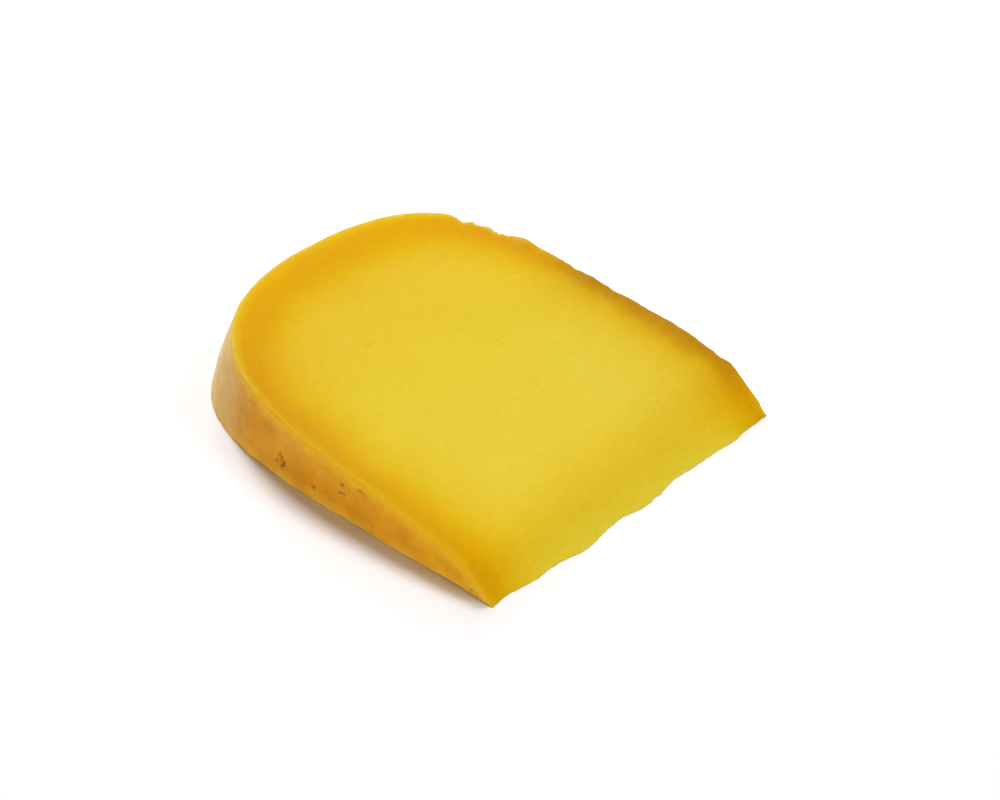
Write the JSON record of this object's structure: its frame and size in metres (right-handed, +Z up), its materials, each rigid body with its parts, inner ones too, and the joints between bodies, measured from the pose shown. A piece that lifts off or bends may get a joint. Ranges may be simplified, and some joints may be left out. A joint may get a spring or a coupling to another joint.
{
  "type": "cheese wedge",
  "caption": "Flat wedge of semi-hard yellow cheese with a waxy rind on its curved rim and both flanks, lying on a cut face and tapering to a trimmed tip.",
  "frame": {"origin": "middle of the wedge's box at the level of the lower cut face, which lies on the table", "axes": "+X from the thick rim to the thin tip, +Y across the wheel from one rind flank to the other, +Z up, square to the lower cut face"},
  "size_m": [0.1232, 0.1, 0.0238],
  "materials": {
    "cheese": "satin, slightly translucent yellow paste with a darker ochre rind"
  },
  "bodies": {
    "root": {"cheese_wedge": "cheese"}
  },
  "joints": []
}
